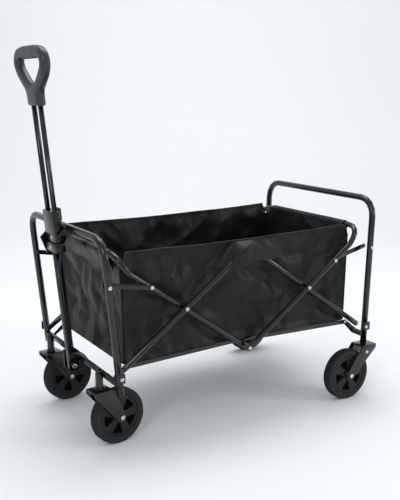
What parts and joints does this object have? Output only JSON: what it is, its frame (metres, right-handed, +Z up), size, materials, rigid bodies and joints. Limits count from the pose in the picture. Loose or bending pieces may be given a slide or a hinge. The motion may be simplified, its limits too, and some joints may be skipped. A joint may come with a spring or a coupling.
{
  "type": "folding wagon with pull handle",
  "caption": "Collapsible utility wagon: a cloth basket in a folding tube frame, swivel front casters, fixed rear wheels and a telescoping pull handle.",
  "frame": {"origin": "middle of the wagon on the floor", "axes": "+Z up; +X from the pull handle's end to the tall push bar's end; -Y is the side with the lock lever"},
  "size_m": [0.9859, 0.5956, 1.0575],
  "materials": {
    "powder_coat": "gloss black powder coat on steel",
    "zinc": "bright zinc plate",
    "tyre_rubber": "matte dark grey, fine block tread",
    "hub_plastic": "satin black",
    "grip_plastic": "satin charcoal",
    "basket_cloth": "coated woven polyester, slight sheen"
  },
  "bodies": {
    "front_frame": {"front_leg_hoop": "powder_coat", "front_crossbar": "powder_coat", "handle_bracket": "powder_coat", "handle_pivot_bolt": "zinc", "handle_clip": "grip_plastic", "swivel_sleeve_left": "powder_coat", "front_bracket_left": "powder_coat", "swivel_sleeve_right": "powder_coat", "front_bracket_right": "powder_coat"},
    "rear_frame": {"rear_leg_hoop": "powder_coat", "rear_bracket_left": "powder_coat", "rear_rail_hanger_left": "powder_coat", "rear_fork_left": "powder_coat", "rear_axle_bolt_left": "zinc", "rear_bracket_right": "powder_coat", "rear_rail_hanger_right": "powder_coat", "rear_fork_right": "powder_coat", "rear_axle_bolt_right": "zinc"},
    "front_links": {"front_link_left": "powder_coat", "front_link_right": "powder_coat"},
    "rear_links": {"rear_link_left": "powder_coat", "rear_link_right": "powder_coat"},
    "front_hoop": {"front_basket_hoop": "powder_coat"},
    "rear_hoop": {"rear_basket_hoop": "powder_coat"},
    "front_struts": {"front_strut_left": "powder_coat", "front_strut_right": "powder_coat"},
    "rear_struts": {"rear_strut_left": "powder_coat", "rear_strut_right": "powder_coat"},
    "front_rails": {"front_rail_left": "powder_coat", "front_rail_right": "powder_coat"},
    "rear_rails": {"rear_rail_left": "powder_coat", "rear_rail_right": "powder_coat"},
    "basket": {"basket_floor": "basket_cloth", "basket_side_left": "basket_cloth", "basket_side_right": "basket_cloth", "basket_front": "basket_cloth", "basket_rear": "basket_cloth"},
    "handle": {"handle_tube": "powder_coat", "lock_collar": "grip_plastic"},
    "telescope": {"rod_slider": "grip_plastic", "telescopic_rod_left": "powder_coat", "telescopic_rod_right": "powder_coat", "grip": "grip_plastic"},
    "lock_lever": {"lock_lever": "grip_plastic"},
    "caster_left": {"front_fork_left": "powder_coat", "swivel_stem_left": "powder_coat", "front_axle_bolt_left": "zinc"},
    "front_wheel_left": {"front_tyre_left": "tyre_rubber", "front_hub_left": "hub_plastic"},
    "rear_wheel_left": {"rear_tyre_left": "tyre_rubber", "rear_hub_left": "hub_plastic"},
    "caster_right": {"front_fork_right": "powder_coat", "swivel_stem_right": "powder_coat", "front_axle_bolt_right": "zinc"},
    "front_wheel_right": {"front_tyre_right": "tyre_rubber", "front_hub_right": "hub_plastic"},
    "rear_wheel_right": {"rear_tyre_right": "tyre_rubber", "rear_hub_right": "hub_plastic"}
  },
  "joints": [
    {"name": "fold", "type": "hinge", "parent": "front_frame", "child": "front_links", "pos_m": [-0.3717, 0, 0.218], "axis": [0, -1, 0], "range_deg": [0, 44.36]},
    {"name": "front_hoop_fold", "type": "hinge", "parent": "front_links", "child": "front_hoop", "pos_m": [-0.1632, 0, 0.3675], "axis": [0, -1, 0], "range_deg": [-88.73, 0]},
    {"name": "rear_hoop_fold", "type": "hinge", "parent": "front_hoop", "child": "rear_hoop", "pos_m": [0.0453, 0, 0.218], "axis": [0, -1, 0], "range_deg": [0, 88.73]},
    {"name": "rear_links_fold", "type": "hinge", "parent": "rear_hoop", "child": "rear_links", "pos_m": [0.2538, 0, 0.3675], "axis": [0, -1, 0], "range_deg": [-88.73, 0]},
    {"name": "rear_frame_fold", "type": "hinge", "parent": "rear_links", "child": "rear_frame", "pos_m": [0.4623, 0, 0.218], "axis": [0, -1, 0], "range_deg": [0, 44.37]},
    {"name": "basket_fold", "type": "hinge", "parent": "front_hoop", "child": "basket", "pos_m": [-0.3547, 0, 0.53], "axis": [0, -1, 0], "range_deg": [0, 44.37], "deforming": ["basket_floor", "basket_side_left", "basket_side_right", "basket_front", "basket_rear"]},
    {"name": "front_strut_fold", "type": "hinge", "parent": "front_frame", "child": "front_struts", "pos_m": [-0.39594, 0, 0.463], "axis": [0, -1, 0], "range_deg": [0, 79.86]},
    {"name": "rear_strut_fold", "type": "hinge", "parent": "rear_frame", "child": "rear_struts", "pos_m": [0.47671, 0, 0.466], "axis": [0, -1, 0], "range_deg": [-85.61, 0]},
    {"name": "front_rail_fold", "type": "hinge", "parent": "front_frame", "child": "front_rails", "pos_m": [-0.3357, 0, 0.226], "axis": [0, -1, 0], "range_deg": [0, 80.2]},
    {"name": "rear_rail_fold", "type": "hinge", "parent": "rear_frame", "child": "rear_rails", "pos_m": [0.4263, 0, 0.226], "axis": [0, -1, 0], "range_deg": [-80.2, 0]},
    {"name": "caster_swivel_left", "type": "hinge", "parent": "front_frame", "child": "caster_left", "pos_m": [-0.3942, -0.18, 0.18], "axis": [0, 0, 1], "continuous": true},
    {"name": "front_wheel_spin_left", "type": "hinge", "parent": "caster_left", "child": "front_wheel_left", "pos_m": [-0.34165, -0.17313, 0.078], "axis": [-0.1296, 0.9916, 0], "continuous": true},
    {"name": "rear_wheel_spin_left", "type": "hinge", "parent": "rear_frame", "child": "rear_wheel_left", "pos_m": [0.3908, -0.268, 0.078], "axis": [0, 1, 0], "continuous": true},
    {"name": "caster_swivel_right", "type": "hinge", "parent": "front_frame", "child": "caster_right", "pos_m": [-0.3942, 0.18, 0.18], "axis": [0, 0, 1], "continuous": true},
    {"name": "front_wheel_spin_right", "type": "hinge", "parent": "caster_right", "child": "front_wheel_right", "pos_m": [-0.34165, 0.18687, 0.078], "axis": [-0.1296, 0.9916, 0], "continuous": true},
    {"name": "rear_wheel_spin_right", "type": "hinge", "parent": "rear_frame", "child": "rear_wheel_right", "pos_m": [0.3908, 0.268, 0.078], "axis": [0, 1, 0], "continuous": true},
    {"name": "handle_pitch", "type": "hinge", "parent": "front_frame", "child": "handle", "pos_m": [-0.3997, 0, 0.182], "axis": [0, -1, 0], "range_deg": [0, 92]},
    {"name": "handle_telescope", "type": "slide", "parent": "handle", "child": "telescope", "axis": [-0.0884, 0, 0.9961], "range_m": [-0.265, 0]},
    {"name": "lock_lever_swing", "type": "hinge", "parent": "handle", "child": "lock_lever", "pos_m": [-0.4239, -0.007, 0.5995], "axis": [0, 1, 0], "range_deg": [0, 35], "stiffness_Nm_per_rad": 0.15}
  ],
  "couplings": [
    {"joint": "front_hoop_fold", "follows": "fold", "ratio": -2},
    {"joint": "rear_hoop_fold", "follows": "fold", "ratio": 2},
    {"joint": "rear_links_fold", "follows": "fold", "ratio": -2},
    {"joint": "rear_frame_fold", "follows": "fold", "ratio": 1},
    {"joint": "basket_fold", "follows": "fold", "ratio": 1},
    {"joint": "front_strut_fold", "follows": "fold", "ratio": 1.8002},
    {"joint": "rear_strut_fold", "follows": "fold", "ratio": -1.9297},
    {"joint": "front_rail_fold", "follows": "fold", "ratio": 1.8077},
    {"joint": "rear_rail_fold", "follows": "fold", "ratio": -1.8077}
  ]
}
